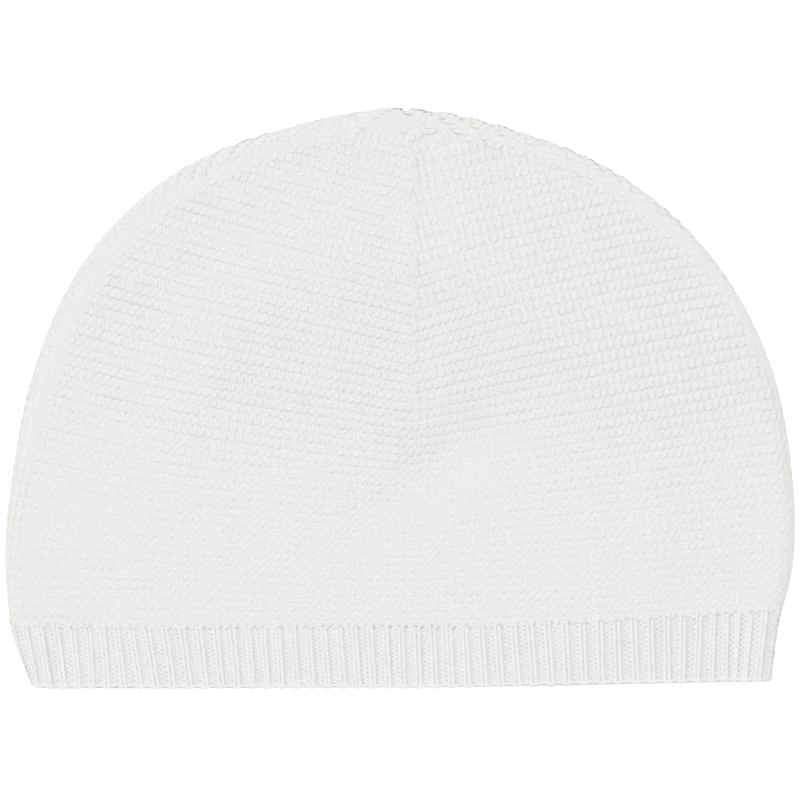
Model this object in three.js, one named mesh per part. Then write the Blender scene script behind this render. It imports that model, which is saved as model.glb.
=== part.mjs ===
// A knitted cotton baby hat, lying flat on its back panel.
//
// Frame, in millimetres: +Z is up from the surface that the hat lies on, +Y runs from the
// mouth to the tip of the crown, and +X is the right-hand side seen from above. The origin
// is on the surface, in the middle of the hat's footprint.
//
// The hat is two knitted walls, each hollow: the ribbed band at the mouth and the crown
// above it. Lying flat, each is a front sheet and a back sheet that meet in a soft rolled
// fold along the outline. Every course of the knitting is one loop round the hat.

import * as THREE from "three";
import { mergeVertices } from "three/addons/utils/BufferGeometryUtils.js";

// Knitted walls, and the soft fold where the front sheet turns into the back sheet.
const CROWN_WALL = 2.2;
const BAND_WALL = 1.8;
const FOLD_RADIUS = 4.0;
const JOIN_GAP = 0.3;

// The front sheet rises inside the fold over this reach, more in the crown than at the rim.
const CROWN_RISE = 6.0;
const RIM_RISE = 3.8;
const RISE_REACH = 40;

// The flat outline: its reach from a point on the hat's axis, by bearing from +X.
const OUTLINE_CENTRE_Y = -40;
const OUTLINE = [
  { bearing: -26, reach: 97.0 },
  { bearing: -17, reach: 91.8 },
  { bearing: -9, reach: 90.4 },
  { bearing: 0, reach: 92.7 },
  { bearing: 15, reach: 95.6 },
  { bearing: 30, reach: 100.1 },
  { bearing: 45, reach: 104.0 },
  { bearing: 60, reach: 106.2 },
  { bearing: 75, reach: 106.8 },
  { bearing: 90, reach: 108.4 },
  { bearing: 105, reach: 107.3 },
  { bearing: 120, reach: 107.3 },
  { bearing: 135, reach: 104.3 },
  { bearing: 150, reach: 98.8 },
  { bearing: 165, reach: 94.4 },
  { bearing: 180, reach: 93.2 },
  { bearing: 190, reach: 92.8 },
  { bearing: 198, reach: 91.3 },
  { bearing: 206, reach: 92.6 },
];

// Courses of the knitting, counted up from the top of the band (0) to the tip (56), with the
// rim at -17. dartX and dartY are where the course crosses the dart in the middle of the
// sheet, right and left are the bearings where it reaches the fold, and the two slopes are
// how steeply it climbs outward beside the dart and at the fold, in degrees.
const RIM_COURSE = -17;
const TIP_COURSE = 56;
const COURSES = [
  { course: -17, dartX: 3, dartY: -68.3, right: -17, left: 198.2, dartSlope: 0.6, foldSlope: 0 },
  { course: 0, dartX: 3, dartY: -53.6, right: -6.5, left: 188.5, dartSlope: 0, foldSlope: 2 },
  { course: 12, dartX: 3, dartY: -32.4, right: 9, left: 171, dartSlope: 0, foldSlope: 6 },
  { course: 24, dartX: 3, dartY: -11.6, right: 26.5, left: 153.5, dartSlope: 6, foldSlope: 11 },
  { course: 34, dartX: 3, dartY: 9.4, right: 41, left: 139, dartSlope: 16, foldSlope: 10 },
  { course: 44, dartX: 3, dartY: 32.0, right: 57.5, left: 122.5, dartSlope: 18, foldSlope: 9 },
  { course: 52, dartX: 3, dartY: 53.6, right: 76, left: 104, dartSlope: 18, foldSlope: 8 },
  { course: 56, dartX: 0, dartY: 64.4, right: 90, left: 90, dartSlope: 18, foldSlope: 8 },
];

// Shallow dents of the front sheet: the place of the middle, how far each reaches along and
// across, the way its long side points in degrees from +X, and how deep it is.
const DENTS = [
  { name: "dimple below the dart", x: 14, y: -14, along: 13, across: 9.5, angle: 42, depth: 2.8 },
  { name: "tail of the dimple", x: -5, y: -29, along: 14, across: 7.5, angle: 52, depth: 1.0 },
  { name: "slack corner", x: -79, y: -60, along: 12, across: 7, angle: 62, depth: 1.8 },
  { name: "hollow beside the dart", x: 8.5, y: 48, along: 24, across: 4, angle: 90, depth: 0.9 },
  { name: "soft upright crease", x: 53, y: -34, along: 24, across: 5, angle: 90, depth: 0.7 },
  { name: "hollow inside the left fold", x: -53, y: 19.5, along: 32, across: 10, angle: 57, depth: 1.1 },
];
const DENT_FADE = 6;

// The off-white cotton of each piece.
const GARTER_COTTON = { color: 0xecebe8, roughness: 0.93, metalness: 0 };
const RIB_COTTON = { color: 0xebeae7, roughness: 0.9, metalness: 0 };

// How finely the walls are divided.
const OUTLINE_STEPS = 360;
const TANGENT_STEP = 1;
const PANEL_STEPS = 14;
const FOLD_STEPS = 6;
const CROWN_ROWS = 22;
const BAND_ROWS = 4;
const MERGE_DISTANCE = 1e-4;

const { degToRad, lerp, smoothstep } = THREE.MathUtils;

function cubic(start, end, startRise, endRise, t) {
  const t2 = t * t;
  const t3 = t2 * t;
  const fromStart = start * (2 * t3 - 3 * t2 + 1) + startRise * (t3 - 2 * t2 + t);
  const fromEnd = end * (3 * t2 - 2 * t3) + endRise * (t3 - t2);
  return fromStart + fromEnd;
}

// A smooth curve through one column of a table, at a value of its first column.
function readTable(table, keyName, valueName, key) {
  const last = table.length - 1;
  let low = 0;
  while (low < last - 1 && key > table[low + 1][keyName]) low += 1;
  const slopeAt = (row) => {
    const before = table[Math.max(row - 1, 0)];
    const after = table[Math.min(row + 1, last)];
    return (after[valueName] - before[valueName]) / (after[keyName] - before[keyName]);
  };
  const from = table[low];
  const to = table[low + 1];
  const span = to[keyName] - from[keyName];
  const t = (key - from[keyName]) / span;
  return cubic(from[valueName], to[valueName], slopeAt(low) * span, slopeAt(low + 1) * span, t);
}

function outlinePoint(bearing) {
  const reach = readTable(OUTLINE, "bearing", "reach", bearing);
  const angle = degToRad(bearing);
  return new THREE.Vector2(
    reach * Math.cos(angle),
    OUTLINE_CENTRE_Y + reach * Math.sin(angle),
  );
}

function outwardNormal(bearing) {
  const before = outlinePoint(bearing - TANGENT_STEP);
  const tangent = outlinePoint(bearing + TANGENT_STEP).sub(before).normalize();
  return new THREE.Vector2(tangent.y, -tangent.x);
}

const FIRST_BEARING = OUTLINE[0].bearing;
const LAST_BEARING = OUTLINE[OUTLINE.length - 1].bearing;
const outlineLine = Array.from({ length: OUTLINE_STEPS + 1 }, (_, i) =>
  outlinePoint(lerp(FIRST_BEARING, LAST_BEARING, i / OUTLINE_STEPS)),
);

function distanceInside(p) {
  return Math.min(...outlineLine.map((q) => q.distanceTo(p)));
}

function dentDepth(p) {
  let depth = 0;
  for (const dent of DENTS) {
    const angle = degToRad(dent.angle);
    const dx = p.x - dent.x;
    const dy = p.y - dent.y;
    const u = (dx * Math.cos(angle) + dy * Math.sin(angle)) / dent.along;
    const v = (dy * Math.cos(angle) - dx * Math.sin(angle)) / dent.across;
    depth += dent.depth * Math.exp(-u * u - v * v);
  }
  return depth;
}

// The height of the outside of the front sheet over a point in plan.
function frontHeight(p) {
  const inside = distanceInside(p) - FOLD_RADIUS;
  const rise = lerp(RIM_RISE, CROWN_RISE, smoothstep(p.y, COURSES[0].dartY, 0));
  const dents = dentDepth(p) * smoothstep(inside, 0, DENT_FADE);
  return 2 * FOLD_RADIUS + rise * smoothstep(inside, 0, RISE_REACH) - dents;
}

// The plan of one course: where it crosses the dart, and the middle of each fold's roll.
function coursePlan(course, lift) {
  const read = (name) => readTable(COURSES, "course", name, course);
  const roll = (bearing) => {
    const outward = outwardNormal(bearing);
    const centre = outlinePoint(bearing).addScaledVector(outward, -FOLD_RADIUS);
    centre.y += lift;
    return { centre, outward };
  };
  return {
    dart: new THREE.Vector2(read("dartX"), read("dartY") + lift),
    dartSlope: Math.tan(degToRad(read("dartSlope"))),
    foldSlope: Math.tan(degToRad(read("foldSlope"))),
    right: roll(read("right")),
    left: roll(read("left")),
  };
}

// A point of a course in plan, from the dart (0) to the middle of a fold's roll (1).
function panelPoint(plan, fold, share) {
  const run = Math.abs(fold.centre.x - plan.dart.x);
  return new THREE.Vector2(
    lerp(plan.dart.x, fold.centre.x, share),
    cubic(plan.dart.y, fold.centre.y, plan.dartSlope * run, plan.foldSlope * run, share),
  );
}

// One loop of points round the hat, at a depth below its outer surface. It runs from the
// front dart over the right fold, along the back and over the left fold to the front dart.
function courseLoop(course, lift, depth) {
  const plan = coursePlan(course, lift);
  const points = [];
  const onFront = (fold, share) => {
    const p = panelPoint(plan, fold, share);
    points.push([p.x, p.y, frontHeight(p) - depth]);
  };
  const onBack = (fold, share) => {
    const p = panelPoint(plan, fold, share);
    points.push([p.x, p.y, depth]);
  };
  const onFold = (fold, angle) => {
    const reach = FOLD_RADIUS - depth;
    const p = fold.centre.clone().addScaledVector(fold.outward, reach * Math.cos(angle));
    points.push([p.x, p.y, FOLD_RADIUS + reach * Math.sin(angle)]);
  };
  for (let i = 0; i < PANEL_STEPS; i += 1) onFront(plan.right, i / PANEL_STEPS);
  for (let i = 0; i < FOLD_STEPS; i += 1) onFold(plan.right, Math.PI * (0.5 - i / FOLD_STEPS));
  for (let i = PANEL_STEPS; i > 0; i -= 1) onBack(plan.right, i / PANEL_STEPS);
  for (let i = 0; i < PANEL_STEPS; i += 1) onBack(plan.left, i / PANEL_STEPS);
  for (let i = FOLD_STEPS; i > 0; i -= 1) onFold(plan.left, Math.PI * (0.5 - i / FOLD_STEPS));
  for (let i = PANEL_STEPS; i > 0; i -= 1) onFront(plan.left, i / PANEL_STEPS);
  return points;
}

// A hollow wall between two courses. It is open at its first course, and at its last one it
// is either open or drawn together at the tip.
function wallGeometry({ firstCourse, lastCourse, firstLift, lastLift, rows, wall }) {
  const positions = [];
  const triangles = [];
  const closed = lastCourse === TIP_COURSE;
  const loopsAt = (depth) =>
    Array.from({ length: rows + 1 }, (_, row) => {
      const share = row / rows;
      const lift = lerp(firstLift, lastLift, share);
      const loop = courseLoop(lerp(firstCourse, lastCourse, share), lift, depth);
      const start = positions.length / 3;
      positions.push(...loop.flat());
      return { start, count: loop.length };
    });
  const join = (lower, upper) => {
    for (let i = 0; i < lower.count; i += 1) {
      const next = (i + 1) % lower.count;
      const a = lower.start + i;
      const b = lower.start + next;
      const c = upper.start + next;
      const d = upper.start + i;
      triangles.push(a, b, c, a, c, d);
    }
  };
  const outer = loopsAt(0);
  const inner = loopsAt(wall);
  for (let row = 0; row < rows; row += 1) {
    join(outer[row], outer[row + 1]);
    join(inner[row + 1], inner[row]);
  }
  join(inner[0], outer[0]);
  if (!closed) join(outer[rows], inner[rows]);
  return withoutFlatTriangles(positions, triangles);
}

// Joins the points that meet at the tip and drops the triangles that vanish there.
function withoutFlatTriangles(positions, triangles) {
  const raw = new THREE.BufferGeometry();
  raw.setAttribute("position", new THREE.Float32BufferAttribute(positions, 3));
  raw.setIndex(triangles);
  const merged = mergeVertices(raw, MERGE_DISTANCE);
  const index = merged.getIndex().array;
  const kept = [];
  for (let i = 0; i < index.length; i += 3) {
    const [a, b, c] = index.slice(i, i + 3);
    if (a !== b && b !== c && c !== a) kept.push(a, b, c);
  }
  merged.setIndex(kept);
  merged.computeVertexNormals();
  return merged;
}

function knitPiece(name, geometry, cotton) {
  const mesh = new THREE.Mesh(geometry, new THREE.MeshStandardMaterial(cotton));
  mesh.name = name;
  return mesh;
}

// The crown: garter-knitted, drawn together at the tip and open where the band joins it.
function makeCrown() {
  const geometry = wallGeometry({
    firstCourse: 0,
    lastCourse: TIP_COURSE,
    firstLift: JOIN_GAP / 2,
    lastLift: 0,
    rows: CROWN_ROWS,
    wall: CROWN_WALL,
  });
  return knitPiece("crown", geometry, GARTER_COTTON);
}

// The band: one ribbed ring round the mouth, open at both ends.
function makeRibBand() {
  const geometry = wallGeometry({
    firstCourse: RIM_COURSE,
    lastCourse: 0,
    firstLift: 0,
    lastLift: -JOIN_GAP / 2,
    rows: BAND_ROWS,
    wall: BAND_WALL,
  });
  return knitPiece("rib_band", geometry, RIB_COTTON);
}

const group = new THREE.Group();
group.add(makeCrown(), makeRibBand());

export default group;
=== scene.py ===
"""A knitted cotton baby hat, lying flat on its back panel and seen from straight above.

Sizes are in millimetres until a mesh is made. The frame is the CAD part's: +Z is up from the
surface that the hat lies on, +Y runs from the mouth to the tip, and +X is the right-hand side.
"""

import math

import bpy
import numpy as np
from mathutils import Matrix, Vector


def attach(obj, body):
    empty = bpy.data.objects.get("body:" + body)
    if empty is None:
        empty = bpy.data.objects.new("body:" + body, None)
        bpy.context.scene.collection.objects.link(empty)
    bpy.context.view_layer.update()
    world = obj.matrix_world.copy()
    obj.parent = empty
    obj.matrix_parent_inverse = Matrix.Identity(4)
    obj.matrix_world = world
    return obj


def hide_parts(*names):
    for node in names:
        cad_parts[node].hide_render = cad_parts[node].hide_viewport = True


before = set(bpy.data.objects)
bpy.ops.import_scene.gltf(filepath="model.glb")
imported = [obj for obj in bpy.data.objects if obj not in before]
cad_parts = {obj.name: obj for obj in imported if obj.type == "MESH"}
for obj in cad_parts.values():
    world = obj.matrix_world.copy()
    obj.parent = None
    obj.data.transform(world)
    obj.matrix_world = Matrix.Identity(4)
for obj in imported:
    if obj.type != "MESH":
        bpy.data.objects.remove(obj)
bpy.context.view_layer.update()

MM = 0.001  # in metres
SMALL = 1e-9  # keeps a division by nothing from failing
SEED = 11
rng = np.random.default_rng(SEED)

# The hat's outer surface, as in the CAD part: a front sheet and a back sheet that meet in a
# rolled fold along the outline.
FOLD_RADIUS = 4.0
QUARTER_ROLL = math.pi / 2 * FOLD_RADIUS  # from the silhouette round the roll to either sheet
CROWN_RISE = 6.0
RIM_RISE = 3.8
RISE_REACH = 40.0
RISE_Y = (-68.3, 0.0)  # from the rim's rise to the crown's
OUTLINE_CENTRE_Y = -40.0
OUTLINE = {
    "bearing": (-26, -17, -9, 0, 15, 30, 45, 60, 75, 90, 105, 120, 135, 150, 165, 180, 190, 198, 206),
    "reach": (97.0, 91.8, 90.4, 92.7, 95.6, 100.1, 104.0, 106.2, 106.8, 108.4,
              107.3, 107.3, 104.3, 98.8, 94.4, 93.2, 92.8, 91.3, 92.6),
}
OUTLINE_STEP = 0.25
TANGENT_STEP = 1.0
SLOPE_STEP = 0.6  # half the distance over which the front sheet's slope is measured
DENTS = {  # place of the middle, reach along and across, way it points in degrees, depth
    "x": (14, -5, -79, 8.5, 53, -53),
    "y": (-14, -29, -60, 48, -34, 19.5),
    "along": (13, 14, 12, 24, 24, 32),
    "across": (9.5, 7.5, 7, 4, 5, 10),
    "angle": (42, 52, 62, 90, 90, 57),
    "depth": (2.8, 1.0, 1.8, 0.9, 0.7, 1.1),
}
DENT_FADE = 6.0
DART_RISE = 0.42  # the front dart stands up as a soft line, from its foot to the tip
DART_HALF_WIDTH = 1.3
DART_FOOT_Y = 1.0
DART_FOOT_FADE = 4.0
SEAM_RISE = 0.18  # and each side dart does along the folds
SEAM_HALF_WIDTH = 2.0
CREASE = {  # a faint raised line on the left half, from one corner to the next
    "x": (-71, -41, -40.5, -63, -84),
    "y": (0.8, -9.8, -35.8, -42.8, -33.4),
}
CREASE_RISE = 0.24
CREASE_HALF_WIDTH = 2.6
TIP_HUMP_X = -2.6  # a small hump left of the tip, and the notch where the two halves meet
TIP_HUMP_RISE = 0.35
TIP_HUMP_HALF_WIDTH = 2.6
TIP_NOTCH_X = 0.9
TIP_NOTCH_DEPTH = 0.6
TIP_NOTCH_HALF_WIDTH = 0.8
TIP_START_Y = (61.0, 66.0)
TIP_BEARING = 89.5
TIP_CROWDING = 3.0  # courses close up within about this distance of the tip along the outline

# Garter ridges of the crown, counted up from the top of the band. Each place along these lists
# says where one ridge meets the front dart and the fold, and how steeply it climbs outward there.
RIGHT_RIDGES = {
    "ridge": (0, 6, 11.6, 17.6, 22.7, 27.4, 32.4, 36.5, 40.4, 44.05, 48.15, 50.9, 53),
    "dart_y": (-53.6, -42.6, -32.4, -21.6, -12.2, -2.5, 9.1, 19.0, 29.1, 39.3, 51.6, 59.8, 65.6),
    "fold_y": (-50.3, -38.0, -25.6, -11.4, 1.4, 13.4, 25.4, 34.7, 43.4, 51.0, 58.4, 63.2, 66.0),
    "dart_slope": (0, 2, 3, 4, 8, 12, 16, 18, 19, 21, 18, 17, 15),
    "fold_slope": (3, 5, 6, 8, 11, 11, 9, 9, 11, 12, 13, 14, 12),
}
LEFT_RIDGES = {
    "ridge": (0, 6, 11.6, 17.6, 22.7, 27.4, 32.6, 36.9, 41.3, 45.4, 50.2, 53.3, 55),
    "dart_y": (-53.6, -42.6, -32.4, -21.6, -12.2, -2.5, 9.1, 19.0, 29.1, 39.3, 51.6, 59.8, 65.0),
    "fold_y": (-53.7, -40.2, -26.9, -9.8, 3.2, 14.6, 26.8, 36.0, 44.3, 51.6, 59.0, 63.0, 65.8),
    "dart_slope": (0, 0, 1, 4, 8, 10, 12, 14, 14, 15, 14, 14, 14),
    "fold_slope": (2, -2, 4, 15, 15, 17, 17, 17, 17, 16, 15, 14, 12),
}
SIDES = {"right": 1, "left": -1}
RIDGES = {"right": RIGHT_RIDGES, "left": LEFT_RIDGES}
DART_X = {"y": (-80, 52, 60, 66), "x": (3.0, 3.0, 2.4, 1.0)}
FRONT_DART_RIDGE = 28  # from this ridge up a course is cut in two by the front dart
MIDDLE_RIDGE = 13  # the middle courses begin here
UPPER_BACK_RIDGE = 16  # and the upper back here
LAST_COURSE_Y = 62.2  # above this the tip is too closely drawn together to show single courses

# How far inside the outline each side dart lies, and over which ridges the courses turn there.
SIDE_DART = {
    "bearing": (-26, 24, 34, 39.5, 47.4, 53.4, 65, 77.5, 90, 94, 115, 130, 144, 160, 170, 178, 206),
    "inset": (0, 0, 1.2, 1.65, 2.3, 2.95, 3.4, 3.4, 3.0, 3.6, 5.6, 4.9, 4.2, 3.6, 2.8, 2.0, 2.0),
}
SIDE_DART_START = {"right": (18, 26), "left": (12, 18)}

# The ribbed band, from the rim (0) to its top (1).
BAND = {
    "share": (0, 1),
    "dart_y": (-67.7, -53.6),
    "right": (-17.0, -6.5),
    "left": (198.7, 188.5),
    "dart_slope": (0.6, 0),
    "fold_slope": (0, 2),
}
BAND_COURSES = 14
BAND_TOP = 1.03  # how far up the strands go, past the top of the band and under the first ridge
RIBS = {  # where the valley left of a rib crosses the front sheet, near the top and the rim
    "rib": (1, 4, 7, 10, 13, 16, 20, 24, 28, 32, 36, 38, 40, 42, 43, 44, 45, 46),
    "top_x": (-83.4, -72.2, -61.9, -49.6, -37.9, -27.4, -13.1, 1.4, 16.4,
              31.7, 48.1, 56.0, 63.8, 71.5, 74.5, 77.6, 80.3, 83.2),
    "rim_x": (-82.0, -71.7, -60.5, -48.6, -37.2, -26.9, -12.4, 1.7, 16.9,
              32.4, 48.3, 56.5, 63.9, 71.0, 74.3, 77.4, 79.6, 82.2),
}
RIB_TOP_SHARE = 0.88
RIB_RIM_SHARE = 0.30
RIBS_AROUND = 104
FRONT_RIBS = np.arange(-3, 50)  # with those that go round both folds
BACK_RIBS = np.arange(50, RIBS_AROUND - 3)

# How finely courses, strands and walls are divided.
FRONT_POINTS = 120
FOLD_POINTS = 40
BACK_POINTS = 80
FRONT_END = FRONT_POINTS - 1  # the last point on the front
FOLD_END = FRONT_END + FOLD_POINTS  # and on the fold
NEAREST_AT_ONCE = 4000  # points whose nearest place on the outline is found in one go
SPACING_EVERY = 4  # the spacing of ridges is measured at each fourth point
FINE_STEPS = 10  # to a stitch, on the front and on the hidden back
COARSE_STEPS = 5
FEWEST_STEPS = 4
# Where the corners of a strand's cross-section are, in degrees round it from its side. The
# half-sunk strands have none where they lie in the ground, besides one at the bottom.
SUNK = (90, 150, 270, 390)
COARSE = (90, 180, 270, 360)
ROUND = (90, 150, 210, 270, 330, 390)
BEND_POWER = 4  # how sharply the inner side of a strand narrows to fit inside a bend
UNDER = 3.0  # how far the fine strands go on under the hat before the plainer ones take over
DART_GAP = 0.15  # the strands stop this far from the middle of a dart

# Limits that keep a course from running too far along a fold or too steeply over the back.
SHORTEST_RUN = 1e-3
LEAST_OUTWARD = 0.35
LEAST_INWARD = 0.3
STEEPEST_BACK = 1.2

# Yarn and stitches of the crown.
STITCH_PITCH = 1.82
LOOSE_PITCH = 1.97
TIGHTER_RIDGES = (6, 24)  # the pitch goes from loose to tight over these
FRONT_ANCHOR_X = {"right": 45.0, "left": -42.0}
YARN_RADIUS = 0.85
YARN_FLATNESS = 0.24
YARN_DEPTH = 0.22
LEAST_GAP = 1.5  # a strand swings no narrower and no wider than for these spacings of ridges
MOST_GAP = 4.4
FULL_GAP = 2.6  # ridges this far apart show their strand at its full width
GAP_RANGE = (0.5, 1.5)  # shares of that spacing beyond which the width changes no more
RIDGE_OVERLAP = 0.46
RIDGE_LEAN = 0.20  # how far the soft yarn looks turned outward at a ridge's two edges
LEAST_SWING = 0.3
LOOP_WIDTH = 0.08
LOOP_LEAN = -0.12
LOOP_SQUARENESS = 1.4
LOOP_LIFT = 0.03
LEG_SINK = 0.04
FOLD_SINK = 0.045  # strands lie a little deeper round the roll of the fold
# How uneven the stitches are: their place in stitches, their swing and width as shares, and
# their height up the ridge and off the surface.
PLACE_NOISE = 0.05
SWING_NOISE = 0.06
RISE_NOISE = 0.05
LIFT_NOISE = 0.006
WIDTH_NOISE = 0.02

# How round the soft strands look: in the crown's upper and its tighter lower part, round the
# fold as a share of that, flatter for each millimetre of fill, and in the ribs.
UPPER_LOOK = 0.53
LOWER_LOOK = 0.50
LOOK_Y = (-40.0, 15.0)
FOLD_LOOK = 0.6
FILL_SOFTNESS = 13.0
RIB_LOOK = 0.55
# The fold is told by how far up a normal points. The sink and the flatter look of its strands
# are full at the first of two values and gone at the second.
FOLD_SINK_UP = (0.3, 0.9)
FOLD_LOOK_UP = (0.7, 1.0)

# The ground under the ridges, and how far it fills the stitches: along the front dart and round
# the tip, along the side darts, on the upper folds, and in the tighter courses near the band.
CROWN_GROUND_DEPTH = 0.106
CROWN_WALL = 2.2
DART_FILL = 0.010
DART_FILL_WIDTH = 0.9
DART_FILL_FADE = 2.0
SEAM_FILL = 0.05
FOLD_FILL = 0.03
FOLD_FILL_DOWN = (0, 0.2)  # from how far a normal points away from up, and where it is full
FOLD_FILL_Y = (15, 45)
LOWER_FILL = 0.018
LOWER_FILL_Y = (-30, 10)
FILL_SINK = 0.4  # the strands sink by this share of the fill
GROUND_Y = (-53.45, 60.0)
GROUND_LOOPS = 95
TIP_GROUND_Y = 60.5
TIP_LOOPS = 4
GROUND_EVERY = 2  # the ground keeps each second point of a course
DART_POINTS = 9  # and all of those this near to the front dart
RIDGE_SAMPLES = 600  # for finding the ridge at a height

# Inside one rib, from the valley at 0 to the next at 1: a zigzag of purl yarn, then the two legs
# of the knit wale. Radii and depths are in millimetres, and places up the rib in courses.
BAND_ROWS = 9
COLUMNS_PER_RIB = 15
ZIGZAG_START = 0.3
ZIGZAG_MIDDLE = 0.24
ZIGZAG_REACH = 0.17
ZIGZAG_RADIUS = 0.31
ZIGZAG_FLATNESS = 0.8
ZIGZAG_DEPTH = 0.26
ZIGZAG_NOISE = {"across": 0.02, "turn": 0.25, "depth": 0.05, "radius": 0.06}
WALE_MIDDLE = 0.66
LEG_START = 0.1
LEG_LENGTH = 1.5
LEG_APART = 0.135
LEG_SPREAD = 0.045
LEG_RADIUS = 0.57
LEG_END_WIDTH = 0.8
LEG_FLATNESS = 0.45
LEG_TOP_DEPTH = 0.26
LEG_TUCK = 0.16
LEG_NOISE = {"apart": 0.05, "depth": 0.03}
BAND_GROUND_DEPTH = 0.27
BAND_WALL = 1.8
BAND_LOOPS = 11
GROUND_PER_RIB = 10
VALLEY_DEPTH = 0.20  # how much deeper the ground lies beside the purl stitches
VALLEY_MIDDLE = 0.08
VALLEY_HALF_WIDTH = 0.13
VALLEY_START = (0, 0.05)  # shares up the band over which the valleys begin, and end
VALLEY_END = (0.8, 1)

# The two cords of the cast-off edge: depth under the surface, share up the band, radius.
EDGE_CORDS = ((0.45, 0.030, 0.46), (1.20, 0.034, 0.50))
EDGE_STEPS = 12  # to a rib
EDGE_SWELL = 0.08
EDGE_SAG = 0.016
EDGE_NOISE = 0.006
EDGE_NOISE_STEPS = 14

# The camera, from the width of the photograph at the height of the hat's silhouette.
PHOTO_WIDTH = 188.8
PHOTO_CENTRE = (0.0, -0.354)
SILHOUETTE_HEIGHT = 4.0
LENS = 180.0
SENSOR = 36.0
NEAR_AND_FAR = (0.05, 10.0)  # in metres
PAPER_HALF_WIDTH = 3.0  # in metres


def smoothstep(value, low, high):
    t = np.clip((value - low) / (high - low), 0, 1)
    return t * t * (3 - 2 * t)


def lerp(a, b, t):
    return a + (b - a) * t


def cubic(start, end, start_rise, end_rise, t):
    """A smooth curve from one value to another, with a rise at each end."""
    t2, t3 = t * t, t * t * t
    first = start * (2 * t3 - 3 * t2 + 1) + start_rise * (t3 - 2 * t2 + t)
    return first + end * (3 * t2 - 2 * t3) + end_rise * (t3 - t2)


def soft_line(distance, half_width):
    return np.exp(-((distance / half_width) ** 2))


def unit(v):
    return v / np.maximum(np.linalg.norm(v, axis=-1, keepdims=True), SMALL)


def read(table, key_name, value_name, key):
    """A smooth curve through one list of a table, at values of another list."""
    x, y = np.array(table[key_name], float), np.array(table[value_name], float)
    rows = np.arange(len(x))
    before, after = np.maximum(rows - 1, 0), np.minimum(rows + 1, len(x) - 1)
    slope = (y[after] - y[before]) / (x[after] - x[before])
    low = np.clip(np.searchsorted(x, key, side="left") - 1, 0, len(x) - 2)
    span = x[low + 1] - x[low]
    t = (key - x[low]) / span
    return cubic(y[low], y[low + 1], slope[low] * span, slope[low + 1] * span, t)


def distances(points):
    """The distance along a line to each of its points."""
    return np.concatenate([[0], np.cumsum(np.linalg.norm(np.diff(points, axis=0), axis=1))])


def points_at(wanted, along, points):
    """The points of a line at wanted distances along it."""
    return np.stack([np.interp(wanted, along, column) for column in points.T], -1)


def outline_points(bearing):
    reach = read(OUTLINE, "bearing", "reach", bearing)
    angle = np.radians(bearing)
    return np.stack([reach * np.cos(angle), OUTLINE_CENTRE_Y + reach * np.sin(angle)], -1)


def outline_normals(bearing):
    tangent = unit(outline_points(bearing + TANGENT_STEP) - outline_points(bearing - TANGENT_STEP))
    return np.stack([tangent[..., 1], -tangent[..., 0]], -1)


first_bearing, last_bearing = OUTLINE["bearing"][0], OUTLINE["bearing"][-1]
outline_bearing = np.arange(first_bearing, last_bearing + OUTLINE_STEP / 2, OUTLINE_STEP)
outline_xy = outline_points(outline_bearing)
outline_out = outline_normals(outline_bearing)
outline_arc = distances(outline_xy)
tip_arc = float(np.interp(TIP_BEARING, outline_bearing, outline_arc))


def along_outline(arc):
    """Points, outward normals and bearings at distances along the outline."""
    xy = points_at(arc, outline_arc, outline_xy)
    out = unit(points_at(arc, outline_arc, outline_out))
    return xy, out, np.interp(arc, outline_arc, outline_bearing)


def inside_outline(points):
    """How far inside the outline each point of the plan lies."""
    nearest = np.empty(len(points), int)
    for start in range(0, len(points), NEAREST_AT_ONCE):
        part = points[start : start + NEAREST_AT_ONCE]
        dx = part[:, None, 0] - outline_xy[:, 0]
        dy = part[:, None, 1] - outline_xy[:, 1]
        nearest[start : start + NEAREST_AT_ONCE] = (dx**2 + dy**2).argmin(1)
    return ((outline_xy[nearest] - points) * outline_out[nearest]).sum(1)


def dent_depth(points):
    depth = np.zeros(len(points))
    for x, y, along, across, angle, deep in zip(*DENTS.values()):
        c, s = math.cos(math.radians(angle)), math.sin(math.radians(angle))
        dx, dy = points[:, 0] - x, points[:, 1] - y
        depth += deep * np.exp(-(((dx * c + dy * s) / along) ** 2) - ((dy * c - dx * s) / across) ** 2)
    return depth


def dart_x(y):
    return np.interp(y, DART_X["y"], DART_X["x"])


def line_rise(points):
    """How far the front dart and the faint crease stand up over points of the plan."""
    x, y = points[:, 0], points[:, 1]
    dart = DART_RISE * soft_line(x - dart_x(y), DART_HALF_WIDTH)
    dart = dart * smoothstep(y, DART_FOOT_Y - DART_FOOT_FADE, DART_FOOT_Y + DART_FOOT_FADE)
    gap = np.full(len(points), np.inf)
    corners = np.column_stack([CREASE["x"], CREASE["y"]]).astype(float)
    for start, run in zip(corners[:-1], np.diff(corners, axis=0)):
        t = np.clip((points - start) @ run / (run @ run), 0, 1)
        gap = np.minimum(gap, np.linalg.norm(points - start - t[:, None] * run, axis=1))
    return dart + CREASE_RISE * soft_line(gap, CREASE_HALF_WIDTH)


def tip_shape(places, normals):
    """Places of the outer surface, with the hump and the notch of the tip."""
    x, near = places[:, 0], smoothstep(places[:, 1], *TIP_START_Y)
    hump = TIP_HUMP_RISE * soft_line(x - TIP_HUMP_X, TIP_HUMP_HALF_WIDTH) * (x < TIP_NOTCH_X)
    notch = TIP_NOTCH_DEPTH * soft_line(x - TIP_NOTCH_X, TIP_NOTCH_HALF_WIDTH)
    return places + (near * hump)[:, None] * [0, 1, 0] - normals * (near * notch)[:, None]


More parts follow.
